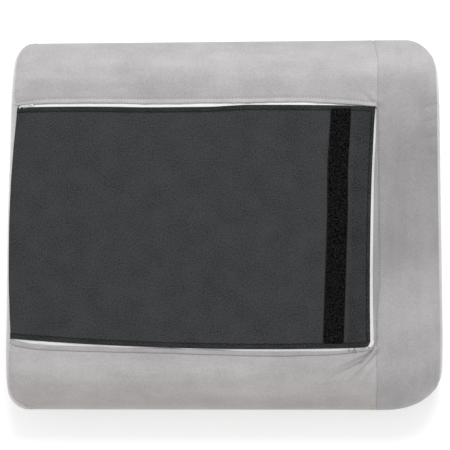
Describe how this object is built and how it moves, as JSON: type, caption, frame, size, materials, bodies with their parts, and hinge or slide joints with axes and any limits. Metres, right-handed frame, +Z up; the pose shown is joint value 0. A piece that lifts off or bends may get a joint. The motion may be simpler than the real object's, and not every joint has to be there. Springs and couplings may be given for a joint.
{
  "type": "changing pad",
  "caption": "Compact foam changing pad in a removable plush cover, shown underside up, with a hemmed closing flap and a loop tape over the cover's opening.",
  "frame": {"origin": "middle of the object's box, on the floor that it lies on", "axes": "+X along the length, from the end where the flap is sewn towards the plain end band; +Y across the width; +Z up out of the underside, which carries the flap. The pad lies on its changing side: for use it is turned over by half a turn about X."},
  "size_m": [0.61, 0.52, 0.0884],
  "materials": {
    "plush": "light grey short-pile knit",
    "binding": "light grey folded edge of the same knit",
    "liner": "white plain non-woven cloth",
    "foam": "open-cell polyurethane foam",
    "charcoal_cloth": "charcoal plain weave",
    "loop_tape": "black brushed loop pile",
    "grey_thread": "grey sewing thread",
    "black_thread": "black sewing thread"
  },
  "bodies": {
    "pad": {"foam_core": "foam", "inner_liner": "liner", "cover_sleeve": "plush", "cover_end_band": "plush", "left_end_cap": "plush", "right_end_cap": "plush", "left_cap_seam_thread": "grey_thread", "end_band_seam_thread": "grey_thread", "right_cap_seam_thread": "grey_thread", "upper_edge_binding": "binding", "lower_edge_binding": "binding", "end_edge_binding": "binding", "upper_binding_thread": "grey_thread", "lower_binding_thread": "grey_thread", "end_binding_thread": "grey_thread"},
    "flap": {"flap_panel": "charcoal_cloth", "flap_upper_hem": "charcoal_cloth", "flap_lower_hem": "charcoal_cloth", "flap_end_hem": "charcoal_cloth", "flap_upper_thread": "black_thread", "flap_lower_thread": "black_thread", "flap_end_thread": "black_thread", "loop_tape": "loop_tape", "tape_left_thread": "black_thread", "tape_right_thread": "black_thread"}
  },
  "joints": [
    {"name": "flap_hinge", "type": "hinge", "parent": "pad", "child": "flap", "pos_m": [-0.3, 0, 0.08262], "axis": [0, -1, 0], "range_deg": [0, 180]}
  ]
}
